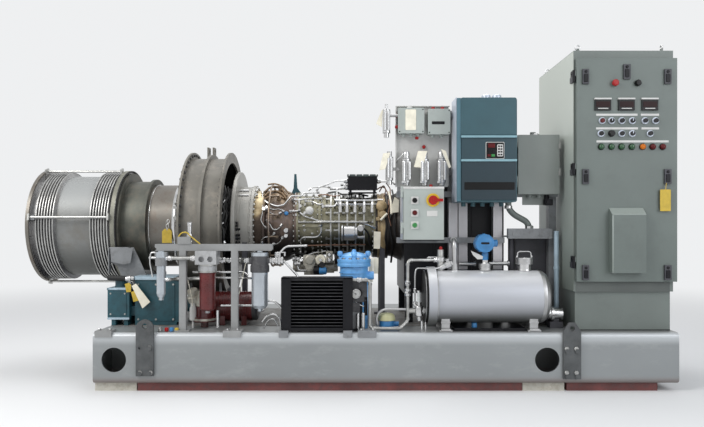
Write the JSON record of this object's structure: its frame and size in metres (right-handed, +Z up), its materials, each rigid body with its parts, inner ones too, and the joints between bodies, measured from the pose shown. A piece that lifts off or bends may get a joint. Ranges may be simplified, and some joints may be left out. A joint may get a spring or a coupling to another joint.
{
  "type": "gas turbine package",
  "caption": "Skid-mounted gas turbine package: exhaust bellows and drum, turbine engine, oil filters, cooler and tank, electrical drive and control cabinet.",
  "frame": {"origin": "on the ground under the middle of the package's bounding box", "axes": "+X along the skid towards the control cabinet, +Y away from the viewer across the skid, +Z up"},
  "size_m": [4.12, 1.656, 2.095],
  "materials": {
    "skid_front_beam": "brushed",
    "skid_rear_beam": "brushed",
    "skid_cross_beams": "brushed",
    "skid_deck": "satin",
    "support_rails": "satin",
    "support_pads": "matte",
    "lifting_lugs": "satin",
    "outlet_bellows": "satin",
    "exhaust_spool": "satin",
    "inlet_bellows": "satin",
    "bellows_tie_rods": "satin",
    "exhaust_duct": "matte",
    "exhaust_neck": "matte",
    "exhaust_supports": "satin",
    "exhaust_drum": "matte",
    "tailpipe": "satin",
    "turbine_casing": "satin",
    "combustor_casing": "satin",
    "fuel_manifold": "satin",
    "compressor_casing": "satin",
    "vane_rings": "satin",
    "front_frame": "satin",
    "engine_mounts": "satin",
    "inlet_plenum": "satin",
    "ignition_box": "satin",
    "accessory_gearbox": "satin",
    "engine_pipework": "polished",
    "filter_rack": "satin",
    "small_filter": "satin",
    "red_filter": "gloss",
    "silver_filter": "satin",
    "filter_pipework": "polished",
    "oil_cooler": "satin",
    "strainer": "gloss",
    "pressure_gauge": "satin",
    "start_motor": "gloss",
    "start_pump": "satin",
    "drain_pump": "satin",
    "tank_shell": "polished",
    "tank_ends": "polished",
    "tank_legs": "satin",
    "tank_fittings": "polished",
    "level_transmitter": "satin",
    "tank_pipework": "polished",
    "instrument_stand": "satin",
    "instrument_plate": "satin",
    "relay_boxes": "satin",
    "regulators": "satin",
    "control_box": "satin",
    "control_box_door": "satin",
    "isolator_handle": "gloss",
    "drive_housing": "satin",
    "junction_box": "satin",
    "junction_box_door": "satin",
    "power_unit": "satin",
    "cabinet_body": "satin",
    "cabinet_hinges": "satin",
    "cabinet_door": "satin",
    "door_latches": "satin",
    "door_controls": "gloss"
  },
  "bodies": {
    "package": {"skid_front_beam": "skid_front_beam", "skid_rear_beam": "skid_rear_beam", "skid_cross_beams": "skid_cross_beams", "skid_deck": "skid_deck", "support_rails": "support_rails", "support_pads": "support_pads", "lifting_lugs": "lifting_lugs", "outlet_bellows": "outlet_bellows", "exhaust_spool": "exhaust_spool", "inlet_bellows": "inlet_bellows", "bellows_tie_rods": "bellows_tie_rods", "exhaust_duct": "exhaust_duct", "exhaust_neck": "exhaust_neck", "exhaust_supports": "exhaust_supports", "exhaust_drum": "exhaust_drum", "tailpipe": "tailpipe", "turbine_casing": "turbine_casing", "combustor_casing": "combustor_casing", "fuel_manifold": "fuel_manifold", "compressor_casing": "compressor_casing", "vane_rings": "vane_rings", "front_frame": "front_frame", "engine_mounts": "engine_mounts", "inlet_plenum": "inlet_plenum", "ignition_box": "ignition_box", "accessory_gearbox": "accessory_gearbox", "engine_pipework": "engine_pipework", "filter_rack": "filter_rack", "small_filter": "small_filter", "red_filter": "red_filter", "silver_filter": "silver_filter", "filter_pipework": "filter_pipework", "oil_cooler": "oil_cooler", "strainer": "strainer", "pressure_gauge": "pressure_gauge", "start_motor": "start_motor", "start_pump": "start_pump", "drain_pump": "drain_pump", "tank_shell": "tank_shell", "tank_ends": "tank_ends", "tank_legs": "tank_legs", "tank_fittings": "tank_fittings", "level_transmitter": "level_transmitter", "tank_pipework": "tank_pipework", "instrument_stand": "instrument_stand", "instrument_plate": "instrument_plate", "relay_boxes": "relay_boxes", "regulators": "regulators", "control_box": "control_box", "drive_housing": "drive_housing", "junction_box": "junction_box", "power_unit": "power_unit", "cabinet_body": "cabinet_body", "cabinet_hinges": "cabinet_hinges"},
    "cabinet_door": {"cabinet_door": "cabinet_door", "door_latches": "door_latches", "door_controls": "door_controls"},
    "control_box_door": {"control_box_door": "control_box_door"},
    "isolator": {"isolator_handle": "isolator_handle"},
    "junction_box_door": {"junction_box_door": "junction_box_door"}
  },
  "joints": [
    {"name": "cabinet_door_hinge", "type": "hinge", "parent": "package", "child": "cabinet_door", "pos_m": [1.448, -0.738, 1.33], "axis": [0, 0, -1], "range_deg": [0, 110]},
    {"name": "control_box_hinge", "type": "hinge", "parent": "package", "child": "control_box_door", "pos_m": [0.405, -0.661, 1.075], "axis": [0, 0, -1], "range_deg": [0, 100]},
    {"name": "isolator_turn", "type": "hinge", "parent": "control_box_door", "child": "isolator", "pos_m": [0.597, -0.69, 1.156], "axis": [0, 1, 0], "range_deg": [-90, 0]},
    {"name": "junction_box_hinge", "type": "hinge", "parent": "package", "child": "junction_box_door", "pos_m": [1.144, -0.547, 1.385], "axis": [0, 0, -1], "range_deg": [0, 90]}
  ]
}
